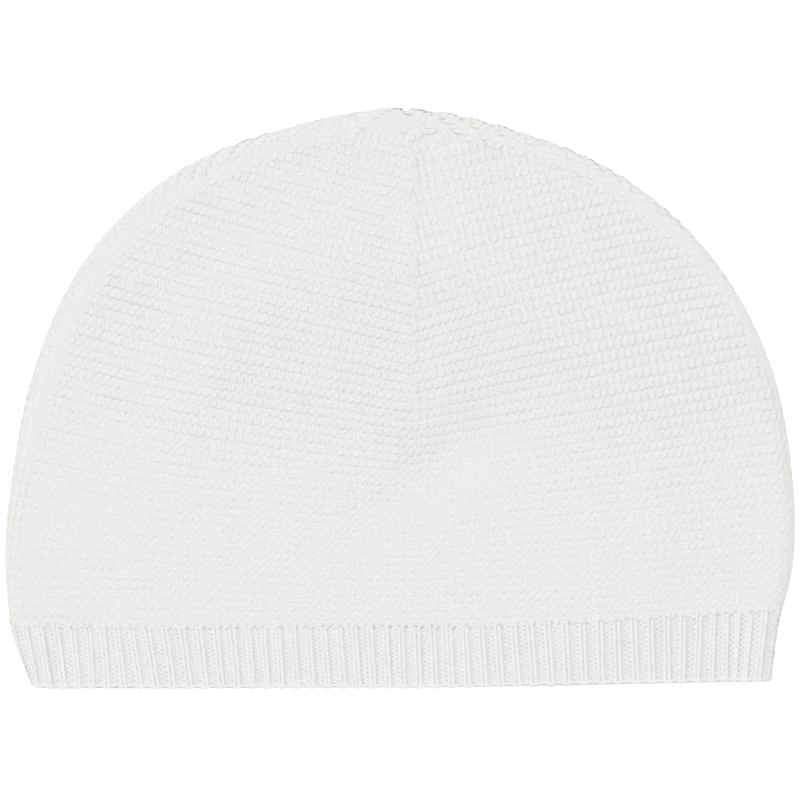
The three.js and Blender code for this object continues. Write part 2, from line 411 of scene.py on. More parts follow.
def sheet_height(points):
    """Height of the front sheet's outside over points of the plan."""
    inside = inside_outline(points) - FOLD_RADIUS
    rise = lerp(RIM_RISE, CROWN_RISE, smoothstep(points[:, 1], *RISE_Y))
    relief = (line_rise(points) - dent_depth(points)) * smoothstep(inside, 0, DENT_FADE)
    return 2 * FOLD_RADIUS + rise * smoothstep(inside, 0, RISE_REACH) + relief


def above_surface(points):
    """How far points stand off the hat: off the roll near the outline, off a sheet elsewhere."""
    inside, z = inside_outline(points[:, :2]), points[:, 2]
    off_roll = np.hypot(FOLD_RADIUS - inside, z - FOLD_RADIUS) - FOLD_RADIUS
    off_sheet = np.where(z > FOLD_RADIUS, z - sheet_height(points[:, :2]), -z)
    return np.where(inside < FOLD_RADIUS, off_roll, off_sheet)


def beside(base, offset, normals):
    """Points beside a line on the hat, moved along its normals to follow the surface."""
    points = base + offset
    return points - normals * (above_surface(points) - above_surface(base))[:, None]


def front_surface(points):
    """Places and normals on the front, over points of the plan at least a fold radius inside."""
    z = sheet_height(points)
    steps = SLOPE_STEP * np.eye(2)
    rises = np.array([sheet_height(points + step) - sheet_height(points - step) for step in steps])
    dx, dy = rises / (2 * SLOPE_STEP)
    return np.column_stack([points, z]), unit(np.column_stack([-dx, -dy, np.ones(len(z))]))


def fold_surface(arc, reach):
    """Places and normals on the fold: reach is the distance round the roll from the silhouette,
    positive towards the front. Beyond the roll it goes on over the front or the back sheet."""
    xy, out, _ = along_outline(arc)
    angle = np.clip(reach / FOLD_RADIUS, -math.pi / 2, math.pi / 2)
    beyond = np.abs(reach) - QUARTER_ROLL
    inset = np.where(beyond > 0, FOLD_RADIUS + beyond, FOLD_RADIUS * (1 - np.cos(angle)))
    plan = xy - out * inset[:, None]
    places = np.column_stack([plan, FOLD_RADIUS * (1 + np.sin(angle))])
    normals = np.column_stack([out * np.cos(angle)[:, None], np.sin(angle)])
    on_front = (beyond > 0) & (reach > 0)
    if on_front.any():
        places[on_front], normals[on_front] = front_surface(plan[on_front])
    return places, normals


def inset_to_reach(inset):
    """Distance round the roll from the silhouette to a place seen this far inside the outline."""
    if inset < FOLD_RADIUS:
        return FOLD_RADIUS * math.acos(1 - inset / FOLD_RADIUS)
    return inset - FOLD_RADIUS + QUARTER_ROLL


def side_dart_inset(bearing):
    return np.interp(bearing, SIDE_DART["bearing"], SIDE_DART["inset"])


# Where a ridge leaves the front sheet: a line inside the outline, by its height in the plan.
leaving_inset = np.maximum(FOLD_RADIUS, side_dart_inset(outline_bearing))
leaving_y = (outline_xy - outline_out * leaving_inset[:, None])[:, 1]
leaving_top = int(leaving_y.argmax())


def arc_at_height(side, y):
    if side == "right":
        return float(np.interp(y, leaving_y[: leaving_top + 1], outline_arc[: leaving_top + 1]))
    return float(np.interp(y, leaving_y[leaving_top:][::-1], outline_arc[leaving_top:][::-1]))


def beside_tip(arcs, side):
    """Distances along the outline, crowded softly on their own side of the tip."""
    sign = SIDES[side]
    return tip_arc - sign * TIP_CROWDING * np.logaddexp(0, (tip_arc - arcs) / TIP_CROWDING * sign)


def ground_fill(dart_y, along, seam, places, normals):
    """How far the ground fills the stitches of half a course."""
    foot = smoothstep(dart_y, DART_FOOT_Y - DART_FILL_FADE, DART_FOOT_Y + DART_FILL_FADE)
    tip = smoothstep(places[:, 1], *TIP_START_Y)
    dart = DART_FILL * np.maximum(foot * soft_line(along, DART_FILL_WIDTH), tip)
    rolled = smoothstep(1 - normals[:, 2], *FOLD_FILL_DOWN)
    fold = FOLD_FILL * rolled * smoothstep(places[:, 1], *FOLD_FILL_Y)
    lower = LOWER_FILL * (1 - smoothstep(places[:, 1], *LOWER_FILL_Y))
    return np.max([dart, SEAM_FILL * seam, fold, lower], axis=0)


def half_course(side, dart, arc, dart_slope, fold_slope, turn, dart_reach):
    """Half a course, from the front dart over one fold to the back dart. It is a dict of places,
    normals, distances along it and fill. turn says how far it turns back at the side dart, and
    dart_reach how far round the roll that dart lies."""
    xy, out, bearing = along_outline(beside_tip(np.array([arc]), side))
    inset = max(FOLD_RADIUS, float(side_dart_inset(bearing[0])))
    end = (xy - out * inset)[0]
    run = max(abs(end[0] - dart[0]), SHORTEST_RUN)
    t = np.linspace(0, 1, FRONT_POINTS)
    dart_rise, fold_rise = math.tan(math.radians(dart_slope)), math.tan(math.radians(fold_slope))
    y = cubic(dart[1], end[1], dart_rise * run, fold_rise * run, t)
    front, front_normals = front_surface(np.column_stack([lerp(dart[0], end[0], t), y]))

    # Round the fold it drifts along the outline, and beyond the side dart it turns.
    way = unit(np.array([SIDES[side], fold_rise]))
    tangent = np.array([-out[0, 1], out[0, 0]])
    drift = (way @ tangent) / max(way @ out[0], LEAST_OUTWARD)
    drift_beyond = drift * (1 - 2 * turn)
    start = inset_to_reach(inset)
    reach = np.linspace(start, -QUARTER_ROLL, FOLD_POINTS + 1)
    dart_reach = min(dart_reach, start)
    before = drift * (start - np.maximum(reach, dart_reach))
    beyond = drift_beyond * np.maximum(dart_reach - reach, 0)
    arcs = beside_tip(arc + before + beyond, side)
    fold, fold_normals = fold_surface(arcs[1:], reach[1:])

    # Over the back it goes on the same way, and meets the other half at the back dart.
    _, out, _ = along_outline(arcs[-1:])
    tangent = np.array([-out[0, 1], out[0, 0]])
    way = unit(-out[0] + tangent * drift_beyond)
    begin = fold[-1, :2]
    run = max(abs(begin[0] - dart[0]), SHORTEST_RUN)
    slope = np.clip(way[1] / max(abs(way[0]), LEAST_INWARD), -STEEPEST_BACK, STEEPEST_BACK)
    t = np.linspace(0, 1, BACK_POINTS + 1)[1:]
    y = cubic(begin[1], dart[1], slope * run, -dart_rise * run, t)
    back = np.column_stack([lerp(begin[0], dart[0], t), y, np.zeros(BACK_POINTS)])
    back_normals = np.tile([0.0, 0.0, -1.0], (BACK_POINTS, 1))

    places = np.vstack([front, fold, back])
    normals = np.vstack([front_normals, fold_normals, back_normals])
    along = distances(places)
    side_dart = np.interp(-dart_reach, -reach, along[FRONT_END : FOLD_END + 1])
    seam = turn * soft_line(along - side_dart, SEAM_HALF_WIDTH)
    places = tip_shape(places + normals * (SEAM_RISE * seam)[:, None], normals)
    fill = ground_fill(dart[1], along, seam, places, normals)
    return {"places": places, "normals": normals, "along": along, "fill": fill}


def crown_half(side, ridge):
    """Half a course of the crown, at a count of ridges up from the band."""
    table = RIDGES[side]
    row = {name: float(read(table, "ridge", name, np.array([ridge]))[0]) for name in table}
    arc = arc_at_height(side, row["fold_y"])
    dart_reach = inset_to_reach(side_dart_inset(np.interp(arc, outline_arc, outline_bearing)))
    turn = float(smoothstep(ridge, *SIDE_DART_START[side]))
    dart = (dart_x(row["dart_y"]), row["dart_y"])
    return half_course(side, dart, arc, row["dart_slope"], row["fold_slope"], turn, dart_reach)


def band_half(side, share):
    """Half a course of the band, at a share up it."""
    row = {name: float(np.interp(share, BAND["share"], values)) for name, values in BAND.items()}
    arc = float(np.interp(row[side], outline_bearing, outline_arc))
    dart = (dart_x(row["dart_y"]), row["dart_y"])
    return half_course(side, dart, arc, row["dart_slope"], row["fold_slope"], 0.0, 0.0)


def sample(path, wanted):
    """Places and normals of a path at distances along it."""
    along = path["along"]
    return points_at(wanted, along, path["places"]), unit(points_at(wanted, along, path["normals"]))


def turned(half):
    """Half a course, walked from the back to the front dart."""
    path = {name: values[::-1] for name, values in half.items()}
    path["along"] = half["along"][-1] - path["along"]
    if "phase" in path:
        path["phase"] = -path["phase"]
    return path


def joined(left, right):
    """One path from the back over the left fold, across the front and over the right fold."""
    onward = {**right, "along": left["along"][-1] + right["along"]}
    return {name: np.concatenate([values, onward[name][1:]]) for name, values in turned(left).items()}


def nearest_along(half, point):
    """The distance along the front of half a course to its nearest place to a point."""
    places, along = half["places"][:FRONT_POINTS], half["along"]
    nearest = int(np.linalg.norm(places - point, axis=1).argmin())
    low, high = max(nearest - 1, 0), min(nearest + 1, FRONT_END)
    run = places[high] - places[low]
    t = np.clip((point - places[low]) @ run / max(run @ run, SMALL), 0, 1)
    return float(lerp(along[low], along[high], t))


def make_mesh(name, points, corners, sizes, uvs, material, normals=None):
    """A piece from points, the corners of its faces in turn, and how many of them each has."""
    mesh = bpy.data.meshes.new(name)
    mesh.vertices.add(len(points))
    mesh.vertices.foreach_set("co", (points * MM).astype(np.float32).ravel())
    mesh.loops.add(len(corners))
    mesh.loops.foreach_set("vertex_index", corners.astype(np.int32))
    mesh.polygons.add(len(sizes))
    starts = np.concatenate([[0], np.cumsum(sizes)[:-1]])
    mesh.polygons.foreach_set("loop_start", starts.astype(np.int32))
    layer = mesh.uv_layers.new(name="mm")
    layer.data.foreach_set("uv", uvs.astype(np.float32).ravel())
    mesh.update(calc_edges=True)
    mesh.validate()
    mesh.shade_smooth()
    if normals is not None:
        mesh.normals_split_custom_set_from_vertices(normals)
    mesh.materials.append(material)
    obj = bpy.data.objects.new(name, mesh)
    bpy.context.scene.collection.objects.link(obj)
    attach(obj, "root")
    print(f"{name}: {int((sizes - 2).sum())} triangles")
    return obj


class TubeMesh:
    """Strands of yarn gathered into one mesh, with UVs along and round them."""

    def __init__(self, name):
        self.name = name
        self.points, self.normals, self.faces, self.sizes, self.uvs = [], [], [], [], []
        self.count = 0

    def add(self, lines, ups, radius, section, flatness=1.0, look=1.0, lean=0.0):
        """lines, ups and lean are (strands, points, 3). radius, flatness, which is the strand's
        thickness as a share of its width, and look are numbers or (strands, points). look says
        how round the fuzzy yarn looks, from 0 for flat to 1 for round, and lean which way it
        looks turned, whatever its thickness."""
        shape = lines.shape[:2]
        radius, flatness, look = (np.broadcast_to(v, shape) for v in (radius, flatness, look))
        step = np.gradient(lines, axis=1)
        tangent = unit(step)
        side = unit(np.cross(ups, tangent))
        up = np.cross(tangent, side)
        across, above = np.cos(np.radians(section)), np.sin(np.radians(section))
        bend = (np.gradient(tangent, axis=1) * side).sum(2)
        bend = bend / np.maximum(np.linalg.norm(step, axis=2), SMALL)
        narrow = 1 / (1 + (radius * np.abs(bend)) ** BEND_POWER) ** (1 / BEND_POWER)
        width = np.where(across * bend[:, :, None] > 0, narrow[:, :, None], 1.0) * across
        height = above * flatness[..., None]
        ring = side[:, :, None] * width[..., None] + up[:, :, None] * height[..., None]
        self.points.append((lines[:, :, None] + ring * radius[:, :, None, None]).reshape(-1, 3))
        slope = across * look[..., None]
        normals = side[:, :, None] * slope[..., None] + (up + lean)[:, :, None] * above[:, None]
        self.normals.append(unit(normals).reshape(-1, 3))
        self.add_faces(lines, len(section))

    def add_faces(self, lines, sides):
        """Quads round each strand, and a cap at each of its ends."""
        strands, points = lines.shape[:2]
        index = self.count + np.arange(strands * points * sides).reshape(strands, points, sides)
        nxt = np.roll(index, -1, axis=2)
        quads = np.stack([index[:, :-1], nxt[:, :-1], nxt[:, 1:], index[:, 1:]], -1).reshape(-1, 4)
        caps = np.concatenate([index[:, 0, ::-1], index[:, -1]])
        length = np.cumsum(np.linalg.norm(np.diff(lines, axis=1), axis=2), axis=1)
        length = np.concatenate([np.zeros((strands, 1)), length], 1)[..., None]
        shape = (strands, points - 1, sides)
        u0, u1 = np.broadcast_to(length[:, :-1], shape), np.broadcast_to(length[:, 1:], shape)
        v0 = np.broadcast_to(np.arange(sides) / sides, shape)
        v1 = v0 + 1 / sides
        corners = ((u0, v0), (u0, v1), (u1, v1), (u1, v0))
        uv = np.stack([np.stack(corner, -1) for corner in corners], -2)
        self.faces += [quads.ravel(), caps.ravel()]
        self.sizes += [np.full(len(quads), 4), np.full(len(caps), sides)]
        self.uvs += [uv.reshape(-1, 2), np.zeros((caps.size, 2))]
        self.count += strands * points * sides

    def build(self, material, slot_name):
        corners, sizes = np.concatenate(self.faces), np.concatenate(self.sizes)
        points, uvs, normals = np.vstack(self.points), np.vstack(self.uvs), np.vstack(self.normals)
        return make_mesh(self.name, points, corners, sizes, uvs, material, normals)


# Undyed cotton, spun from short fibres into a soft two-ply yarn and knitted: matt, because loose
# fibre ends scatter the light, a little uneven in tone, and with hardly any gloss or sheen.
COTTON = {"Roughness": 0.92, "Specular_IOR_Level": 0.2, "Sheen_Weight": 0.05, "Sheen_Roughness": 0.6}
TONE_SHARES = (0.93, 1.03)  # of the base colour, in thin and in full places of the yarn
LIGHTEST = 0.985
TONE_SIZE = 0.5
TONE_NOISE_RANGE = (0.3, 0.7)
# A fibre is about 0.02 thick, too fine to show, so the fuzz is drawn in tufts of a few tenths.
FUZZ_SIZE = 1 / 2.6
FUZZ_HEIGHT = 0.12
FUZZ_STRENGTH = 0.6
PLIES = 2
PLY_SPACING = 1.3  # along the yarn from one ply to the next
PLY_HEIGHT = 0.3  # as a share of the fuzz


def linear(hex_color):
    """An sRGB hex colour as linear RGBA."""
    parts = [int(hex_color[i : i + 2], 16) / 255 for i in (1, 3, 5)]
    return [p / 12.92 if p <= 0.04045 else ((p + 0.055) / 1.055) ** 2.4 for p in parts] + [1.0]


def node(tree, kind, settings=None, **links):
    """Adds a node. settings are its own attributes, and links are values or sockets by the name
    of the input, or by its number as i0, i1 and so on."""
    made = tree.nodes.new(kind)
    for key, value in (settings or {}).items():
        setattr(made, key, value)
    for name, value in links.items():
        numbered = name[0] == "i" and name[1:].isdigit()
        socket = made.inputs[int(name[1:]) if numbered else name.replace("_", " ")]
        if isinstance(value, bpy.types.NodeSocket):
            tree.links.new(value, socket)
        else:
            socket.default_value = value
    return made


def two_ply_twist(tree):
    """Height of the plies that wind round a strand. Its UVs are millimetres along it and turns
    round it."""
    uv = node(tree, "ShaderNodeUVMap", {"uv_map": "mm"})
    split = node(tree, "ShaderNodeSeparateXYZ", Vector=uv.outputs["UV"])
    multiply = {"operation": "MULTIPLY"}
    per_mm = 2 * math.pi / PLY_SPACING
    along = node(tree, "ShaderNodeMath", multiply, i0=split.outputs["X"], i1=per_mm)
    turn = node(tree, "ShaderNodeMath", multiply, i0=split.outputs["Y"], i1=2 * math.pi * PLIES)
    both = node(tree, "ShaderNodeMath", {"operation": "ADD"}, i0=along.outputs[0], i1=turn.outputs[0])
    wave = node(tree, "ShaderNodeMath", {"operation": "SINE"}, i0=both.outputs[0])
    return node(tree, "ShaderNodeMath", multiply, i0=wave.outputs[0], i1=PLY_HEIGHT).outputs[0]


def knitted_cotton(name, base, twisted):
    """Soft spun cotton: uneven in tone, with fuzz and, on the strands, the twist of the plies."""
    material = bpy.data.materials.new(name)
    material.use_nodes = True
    tree = material.node_tree
    tree.nodes.clear()
    place = node(tree, "ShaderNodeTexCoord").outputs["Object"]
    grain = {"Vector": place, "Roughness": 0.6}
    patches = node(tree, "ShaderNodeTexNoise", Scale=1 / (TONE_SIZE * MM), Detail=2.0, **grain)
    fuzz = node(tree, "ShaderNodeTexNoise", Scale=1 / (FUZZ_SIZE * MM), Detail=3.0, **grain)
    low, high = TONE_NOISE_RANGE
    tone = node(tree, "ShaderNodeMapRange", Value=patches.outputs["Fac"], From_Min=low, From_Max=high)
    thin, full = ([min(c * share, LIGHTEST) for c in base[:3]] + [1.0] for share in TONE_SHARES)
    mix = {"data_type": "RGBA"}
    colour = node(tree, "ShaderNodeMix", mix, i0=tone.outputs["Result"], i6=thin, i7=full)
    height = fuzz.outputs["Fac"]
    if twisted:
        add = {"operation": "ADD"}
        height = node(tree, "ShaderNodeMath", add, i0=two_ply_twist(tree), i1=height).outputs[0]
    deep = FUZZ_HEIGHT * MM
    bump = node(tree, "ShaderNodeBump", Strength=FUZZ_STRENGTH, Distance=deep, Height=height)
    looks = {"Base_Color": colour.outputs[2], "Normal": bump.outputs["Normal"], **COTTON}
    shader = node(tree, "ShaderNodeBsdfPrincipled", **looks)
    node(tree, "ShaderNodeOutputMaterial", Surface=shader.outputs["BSDF"])
    return material


def uncoated_paper(name, base):
    """Uncoated paper, pulped and rolled, without gloss. A faint glow keeps it near to white."""
    material = bpy.data.materials.new(name)
    material.use_nodes = True
    inputs = material.node_tree.nodes["Principled BSDF"].inputs
    inputs["Base Color"].default_value = base
    inputs["Roughness"].default_value = 0.9
    inputs["Specular IOR Level"].default_value = 0.1
    inputs["Emission Color"].default_value = (1.0, 1.0, 1.0, 1.0)
    inputs["Emission Strength"].default_value = 0.35
    return material


garter_cotton = knitted_cotton("Undyed_cotton_yarn_garter_knit", linear("#faf8f6"), True)
rib_cotton = knitted_cotton("Undyed_cotton_yarn_rib_knit", linear("#fefcfa"), True)
# The ground is coloured a little darker than the yarn: painted shade where it shows in the gaps between
# the strands and on the bare fold, dart and tip.
ground_cotton_painted_shade = knitted_cotton("Undyed_cotton_knit_ground_painted_shade", linear("#f7f5f3"), False)


# The crown's courses: half courses for each ridge, and the line that every wale follows up them.
def crown_halves(side):
    last = RIDGES[side]["ridge"][-1]
    return [crown_half(side, i + 0.5) for i in range(int(last))]


halves = {side: crown_halves(side) for side in SIDES}


def anchors(side):
    """Where one wale near the middle of a sheet crosses each ridge, as a distance along it."""
    first = halves[side][0]
    x = first["places"][:FRONT_POINTS, 0] * SIDES[side]
    found = [float(np.interp(FRONT_ANCHOR_X[side] * SIDES[side], x, first["along"][:FRONT_POINTS]))]
    for below, half in zip(halves[side][:-1], halves[side][1:]):
        crossing, _ = sample(below, np.array([found[-1]]))
        found.append(nearest_along(half, crossing[0]))
    return found


anchor = {side: anchors(side) for side in SIDES}


def spacing(side, i):
    """Distance from one ridge to its neighbours, at each of its own points."""
    rows = halves[side]
    here = rows[i]["places"][::SPACING_EVERY]
    gaps = []
    for j in (i - 1, i + 1):
        if 0 <= j < len(rows):
            there = rows[j]["places"]
            gaps.append(np.sqrt(((here[:, None] - there[None]) ** 2).sum(2).min(1)))
    along = rows[i]["along"]
    return np.interp(along, along[::SPACING_EVERY], np.mean(gaps, axis=0))


def with_phase(side, i, inner_pitch, outer_pitch, first=0):
    """Half a course with its spacing and a count of stitches, which is first at the anchor."""
    half, start = halves[side][i], anchor[side][i]
    inner = (np.minimum(half["along"], start) - start) / inner_pitch
    outer = np.maximum(half["along"] - start, 0) / outer_pitch
    return {**half, "gap": spacing(side, i), "phase": inner + outer + first}


def smooth_noise(count, span):
    """Even noise of about unit size, smoothed over span samples."""
    reach = 3 * span
    raw = rng.normal(size=count + 2 * reach)
    window = np.exp(-0.5 * (np.arange(-reach, reach + 1) / span) ** 2)
    window /= np.sqrt((window**2).sum())
    return np.convolve(raw, window, mode="valid")[:count]


def ridge_yarn(mesh, path, phase_from, phase_to, steps, section):
    """One strand of a garter ridge along a path, between two counts of stitches."""
    count = max(int(round((phase_to - phase_from) * steps)), FEWEST_STEPS)
    phase = np.linspace(phase_from, phase_to, count + 1)
    along = np.interp(phase, path["phase"], path["along"])
    base, normal = sample(path, along)
    gap, fill = (np.interp(along, path["along"], path[name]) for name in ("gap", "fill"))
    tangent = unit(np.gradient(base, axis=0))
    up = np.cross(normal, tangent)

    def uneven(amount, stitches):
        return amount * smooth_noise(len(phase), stitches * steps)

    turn = 2 * np.pi * (phase + uneven(PLACE_NOISE, 2))
    swing = (np.clip(gap, LEAST_GAP, MOST_GAP) / 2 - RIDGE_OVERLAP) * (1 + uneven(SWING_NOISE, 1))
    loop = swing * np.tanh(LOOP_SQUARENESS * np.cos(turn)) / math.tanh(LOOP_SQUARENESS)
    rise = loop + uneven(RISE_NOISE, 3)
    aside = LOOP_WIDTH * np.sin(2 * turn) + LOOP_LEAN * rise
    lift = -LEG_SINK * np.sin(turn) + LOOP_LIFT * np.cos(2 * turn) - YARN_DEPTH
    lift = lift - FILL_SINK * fill + uneven(LIFT_NOISE, 1)
    lift = lift - FOLD_SINK * (1 - smoothstep(normal[:, 2], *FOLD_SINK_UP))
    line = beside(base, tangent * aside[:, None] + up * rise[:, None], normal) + normal * lift[:, None]

    look = lerp(LOWER_LOOK, UPPER_LOOK, smoothstep(base[:, 1], *LOOK_Y))
    look = look * lerp(FOLD_LOOK, 1, smoothstep(normal[:, 2], *FOLD_LOOK_UP)) * (1 - FILL_SOFTNESS * fill)
    wide = (1 + uneven(WIDTH_NOISE, 1)) * np.sqrt(np.clip(gap / FULL_GAP, *GAP_RANGE))
    lean = up * (RIDGE_LEAN * rise / np.maximum(swing, LEAST_SWING) * look / UPPER_LOOK)[:, None]
    radius, flatness = YARN_RADIUS * wide, YARN_FLATNESS / wide
    mesh.add(line[None], normal[None], radius[None], section, flatness[None], look[None], lean[None])


CROWN_PIECES = ("lower_courses", "middle_courses", "left_gore", "right_gore", "back_lower", "back_upper")
crown = {name: TubeMesh(f"crown_{name}") for name in CROWN_PIECES}
front_stitches = round((anchor["right"][0] + anchor["left"][0]) / LOOSE_PITCH)


def whole_course(i):
    """The strands of a course that goes all the way round, below the gores."""
    left_length, right_length = (halves[side][i]["along"][-1] for side in ("left", "right"))
    outer_length = left_length + right_length - anchor["left"][i] - anchor["right"][i]
    wanted = lerp(LOOSE_PITCH, STITCH_PITCH, smoothstep(i, *TIGHTER_RIDGES))
    inner_pitch = (anchor["left"][i] + anchor["right"][i]) / front_stitches
    outer_pitch = outer_length / round(outer_length / wanted)
    left = with_phase("left", i, inner_pitch, outer_pitch)
    right = with_phase("right", i, inner_pitch, outer_pitch, front_stitches)
    path = joined(left, right)
    under_left = left_length - left["along"][FOLD_END] - UNDER
    under_right = left_length + right["along"][FOLD_END] + UNDER
    start, end = np.interp([under_left, under_right], path["along"], path["phase"])
    front = crown["lower_courses" if i < MIDDLE_RIDGE else "middle_courses"]
    ridge_yarn(front, path, start, end, FINE_STEPS, SUNK)
    back = crown["back_lower" if i < UPPER_BACK_RIDGE else "back_upper"]
    ridge_yarn(back, path, path["phase"][0], start, COARSE_STEPS, COARSE)
    ridge_yarn(back, path, end, path["phase"][-1], COARSE_STEPS, COARSE)


def gore_course(side, i):
    """The strands of a course that goes from the front dart round one side to the back dart."""
    path = with_phase(side, i, STITCH_PITCH, STITCH_PITCH)
    along = path["along"]
    stops = [DART_GAP, along[FOLD_END] + UNDER, along[-1] - DART_GAP]
    cuts = np.interp(stops, along, path["phase"])
    front, back = cuts[:2], cuts[1:]
    if side == "left":
        path, front, back = turned(path), -front[::-1], -back[::-1]
    ridge_yarn(crown[f"{side}_gore"], path, *front, FINE_STEPS, SUNK)
    ridge_yarn(crown["back_upper"], path, *back, COARSE_STEPS, COARSE)


for i in range(FRONT_DART_RIDGE):
    whole_course(i)
for side in ("left", "right"):
    for i in range(FRONT_DART_RIDGE, len(halves[side])):
        if halves[side][i]["places"][0, 1] <= LAST_COURSE_Y:
            gore_course(side, i)
for strands in crown.values():
    strands.build(garter_cotton, "garter_knit")


# The ground under the ridges, which also is the inside of the hat.
def filled_and_thinned(half):
    """Places and normals of the ground for half a course, raised by its fill, at fewer points."""
    last = len(half["places"]) - 1
    keep = np.unique([*range(DART_POINTS), *range(0, last, GROUND_EVERY), last])
    places = half["places"] + half["normals"] * half["fill"][:, None]
    return places[keep], half["normals"][keep]


def crown_loops():
    """Closed loops of places and normals round the crown, from the band to the last course."""
    loops = []
    tip_y = np.linspace(TIP_GROUND_Y, LAST_COURSE_Y, TIP_LOOPS)
    for y in np.concatenate([np.linspace(*GROUND_Y, GROUND_LOOPS), tip_y]):
        both = {}
        for side in SIDES:
            ridges = np.linspace(0, RIDGES[side]["ridge"][-1], RIDGE_SAMPLES)
            heights = read(RIDGES[side], "ridge", "dart_y", ridges)
            both[side] = filled_and_thinned(crown_half(side, float(np.interp(y, heights, ridges))))
        pairs = zip(both["right"], both["left"])
        loops.append([np.vstack([right, left[::-1][1:-1]]) for right, left in pairs])
    return loops


def wall_mesh(name, loops, outer_depth, inner_depth, material, close_end):
    """A hollow wall from loops of (places, normals), with its inside a fixed depth further in.
    The first loop is an open mouth. close_end closes the last one along its middle."""
    places = np.stack([p for p, _ in loops])
    normals = np.stack([n for _, n in loops])
    rows, count = places.shape[:2]
    walls = [(places - normals * depth).reshape(-1, 3) for depth in (outer_depth, inner_depth)]
    points = np.vstack(walls)
    inward = rows * count  # from a point's number on the outside to its number on the inside
    index = np.arange(inward).reshape(rows, count)
    nxt = np.roll(index, -1, axis=1)
    faces = np.stack([index[:-1], nxt[:-1], nxt[1:], index[1:]], -1).reshape(-1, 4)
    rim = np.stack([index[0] + inward, nxt[0] + inward, nxt[0], index[0]], -1)
    parts = [faces, faces[:, ::-1] + inward, rim]
    if close_end:
        right = index[-1, : count // 2 + 1]
        left = np.concatenate([right[:1], index[-1, : count // 2 - 1 : -1]])
        seam = np.stack([right[1:-2], right[2:-1], left[2:-1], left[1:-2]], -1)
        ends = np.array([[right[0], right[1], left[1]], [right[-2], right[-1], left[-2]]])
        parts += [seam, ends, seam[:, ::-1] + inward, ends[:, ::-1] + inward]
    else:
        parts.append(np.stack([index[-1], nxt[-1], nxt[-1] + inward, index[-1] + inward], -1))
    corners = np.concatenate([part.ravel() for part in parts])
    sizes = np.concatenate([np.full(len(part), part.shape[1]) for part in parts])
    return make_mesh(name, points, corners, sizes, points[corners][:, :2], material)


crown_ground = wall_mesh(
    "crown_ground", crown_loops(), CROWN_GROUND_DEPTH, CROWN_WALL, ground_cotton_painted_shade, True
)
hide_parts("crown")


class BandSurface:
    """Places and normals over the ribbed band, by rib round it and share up it."""

    def __init__(self):
        self.shares = np.linspace(0, 1, BAND_ROWS)
        self.ribs = np.linspace(1, 1 + RIBS_AROUND, COLUMNS_PER_RIB * RIBS_AROUND + 1)
        self.places, self.normals = map(np.stack, zip(*(self.row(share) for share in self.shares)))

    def row(self, share):
        """Places and normals all round the band, at each of its ribs."""
        left, right = band_half("left", share), band_half("right", share)
        path = joined(left, right)
        along, dart = path["along"], left["along"][-1]
        front = (along >= dart - left["along"][FRONT_END]) & (along <= dart + right["along"][FRONT_END])
        up = (share - RIB_RIM_SHARE) / (RIB_TOP_SHARE - RIB_RIM_SHARE)
        x = lerp(np.array(RIBS["rim_x"]), np.array(RIBS["top_x"]), up)
        at = np.interp(x, path["places"][front, 0], along[front])
        known = [*RIBS["rib"], 1 + RIBS_AROUND]
        return sample(path, np.interp(self.ribs, known, [*at, at[0] + along[-1]]) % along[-1])

    def at(self, rib, share):
        """Places and normals at ribs, counted from 1 to RIBS_AROUND and on again, and at shares up."""
        columns = ((np.asarray(rib) - 1) % RIBS_AROUND) / RIBS_AROUND * (len(self.ribs) - 1)
        rows = np.asarray(share) * (len(self.shares) - 1)
        c0 = np.clip(columns.astype(int), 0, len(self.ribs) - 2)
        r0 = np.clip(np.floor(rows).astype(int), 0, len(self.shares) - 2)
        c, r = (columns - c0)[..., None], (rows - r0)[..., None]

        def mix(grid):
            below = grid[r0, c0] * (1 - c) + grid[r0, c0 + 1] * c
            above = grid[r0 + 1, c0] * (1 - c) + grid[r0 + 1, c0 + 1] * c
            return below * (1 - r) + above * r

        return mix(self.places), unit(mix(self.normals))


band = BandSurface()


def purl_zigzag(mesh, ribs, steps, section):
    """The purl yarn of each valley, swinging right and left once for each course."""
    courses = np.linspace(ZIGZAG_START, BAND_COURSES * BAND_TOP, BAND_COURSES * steps + 1)

    def uneven(name, span):
        return ZIGZAG_NOISE[name] * smooth_noise(len(courses), span * steps)

    for rib in ribs:
        wander = uneven("across", 2)
        turn = 2 * np.pi * courses + uneven("turn", 2)
        across = ZIGZAG_MIDDLE + ZIGZAG_REACH * np.cos(turn) + wander
        places, normals = band.at(rib + across, courses / BAND_COURSES)
        line = places - normals * (ZIGZAG_DEPTH + uneven("depth", 1))[:, None]
        radius = ZIGZAG_RADIUS * (1 + uneven("radius", 1))
        mesh.add(line[None], normals[None], radius[None], section, ZIGZAG_FLATNESS, RIB_LOOK)


def knit_wale(mesh, ribs, points, section):
    """The knit stitches of each rib: two legs a stitch, closer together at the foot."""
    rib, row = [g.astype(float) for g in np.meshgrid(ribs, np.arange(BAND_COURSES), indexing="ij")]

    def uneven(name):
        return (LEG_NOISE[name] * rng.normal(size=rib.shape))[..., None]

    t = np.linspace(0, 1, points)
    courses = np.minimum(row[..., None] + LEG_START + LEG_LENGTH * t, BAND_COURSES * BAND_TOP)
    apart = LEG_APART + LEG_SPREAD * (2 * t - 1)
    radius = LEG_RADIUS * lerp(LEG_END_WIDTH, 1, np.sin(np.pi * t))
    for hand in (-1, 1):
        across = WALE_MIDDLE + hand * apart * (1 + uneven("apart"))
        places, normals = band.at(rib[..., None] + across, courses / BAND_COURSES)
        depth = LEG_TOP_DEPTH + LEG_TUCK * (2 * t - 1) ** 2 + uneven("depth")
        lines = places - normals * depth[..., None]
        lines, ups = lines.reshape(-1, points, 3), normals.reshape(-1, points, 3)
        mesh.add(lines, ups, radius[None], section, LEG_FLATNESS, RIB_LOOK)


